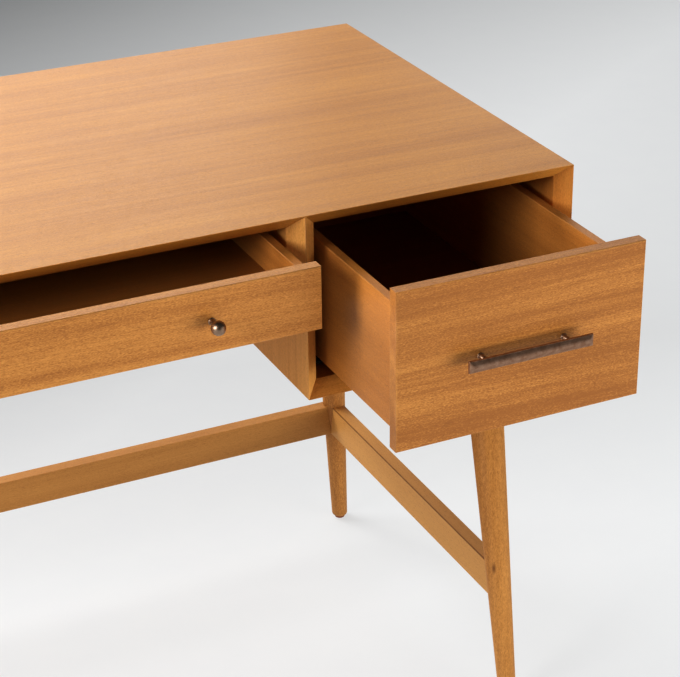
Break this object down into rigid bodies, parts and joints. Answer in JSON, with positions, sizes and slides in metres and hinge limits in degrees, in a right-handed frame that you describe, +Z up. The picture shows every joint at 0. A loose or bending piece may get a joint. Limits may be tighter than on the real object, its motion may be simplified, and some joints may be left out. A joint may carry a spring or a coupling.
{
  "type": "writing desk",
  "caption": "Mid-century writing desk: a bevel-edged wooden case with a wide shallow drawer beside a deep one, on splayed round tapered legs joined by stretchers.",
  "frame": {"origin": "on the floor, under the middle of the whole desk with its drawers part open", "axes": "+X along the desk to the right as seen from its front, +Y towards its back, +Z up; the drawers slide out along -Y"},
  "size_m": [1.32, 0.8062, 0.762],
  "materials": {
    "top_wood": "satin lacquer, lighter honey brown, grain along the desk",
    "case_wood": "satin lacquer, honey brown",
    "back_panel_wood": "matte veneered board",
    "drawer_front_wood": "satin lacquer, honey brown, grain along the desk",
    "drawer_box_wood": "satin lacquer, warm brown",
    "leg_wood": "satin lacquer, honey brown, grain along each piece",
    "dowel_wood": "bare beech",
    "bronze": "dark antique bronze, rubbed lighter at the edges",
    "steel": "zinc-plated",
    "glide_plastic": "dark brown"
  },
  "bodies": {
    "case": {"top_panel": "top_wood", "right_end_panel": "case_wood", "left_end_panel": "case_wood", "divider_panel": "case_wood", "wide_bay_side_panel": "case_wood", "deep_bay_bottom": "case_wood", "wide_bay_bottom": "case_wood", "deep_bay_back": "back_panel_wood", "wide_bay_back": "back_panel_wood", "leg_front_right": "leg_wood", "leg_bolt_front_right": "steel", "glide_front_right": "glide_plastic", "leg_front_left": "leg_wood", "leg_bolt_front_left": "steel", "glide_front_left": "glide_plastic", "leg_back_right": "leg_wood", "leg_bolt_back_right": "steel", "glide_back_right": "glide_plastic", "leg_back_left": "leg_wood", "leg_bolt_back_left": "steel", "glide_back_left": "glide_plastic", "side_stretcher_right": "leg_wood", "side_stretcher_left": "leg_wood", "back_stretcher": "leg_wood", "dowel_side_right_front": "dowel_wood", "dowel_side_right_back": "dowel_wood", "dowel_side_left_front": "dowel_wood", "dowel_side_left_back": "dowel_wood", "dowel_back_right": "dowel_wood", "dowel_back_left": "dowel_wood", "deep_runner_left": "steel", "deep_runner_right": "steel", "wide_runner_left": "steel", "wide_runner_right": "steel"},
    "wide_drawer": {"wide_drawer_front": "drawer_front_wood", "wide_drawer_inner_front": "drawer_box_wood", "wide_drawer_left_side": "drawer_box_wood", "wide_drawer_right_side": "drawer_box_wood", "wide_drawer_back": "drawer_box_wood", "wide_drawer_bottom": "drawer_box_wood", "wide_drawer_rail_left": "steel", "wide_drawer_rail_right": "steel", "knob_left": "bronze", "knob_right": "bronze", "knob_screw_left": "steel", "knob_screw_right": "steel"},
    "deep_drawer": {"deep_drawer_front": "drawer_front_wood", "deep_drawer_inner_front": "drawer_box_wood", "deep_drawer_left_side": "drawer_box_wood", "deep_drawer_right_side": "drawer_box_wood", "deep_drawer_back": "drawer_box_wood", "deep_drawer_bottom": "drawer_box_wood", "deep_drawer_rail_left": "steel", "deep_drawer_rail_right": "steel", "pull_bar": "bronze", "pull_post_left": "bronze", "pull_post_right": "bronze", "pull_screw_left": "steel", "pull_screw_right": "steel"}
  },
  "joints": [
    {"name": "wide_drawer_slide", "type": "slide", "parent": "case", "child": "wide_drawer", "axis": [0, -1, 0], "range_m": [-0.1018, 0.2682]},
    {"name": "deep_drawer_slide", "type": "slide", "parent": "case", "child": "deep_drawer", "axis": [0, -1, 0], "range_m": [-0.1963, 0.1737]}
  ]
}
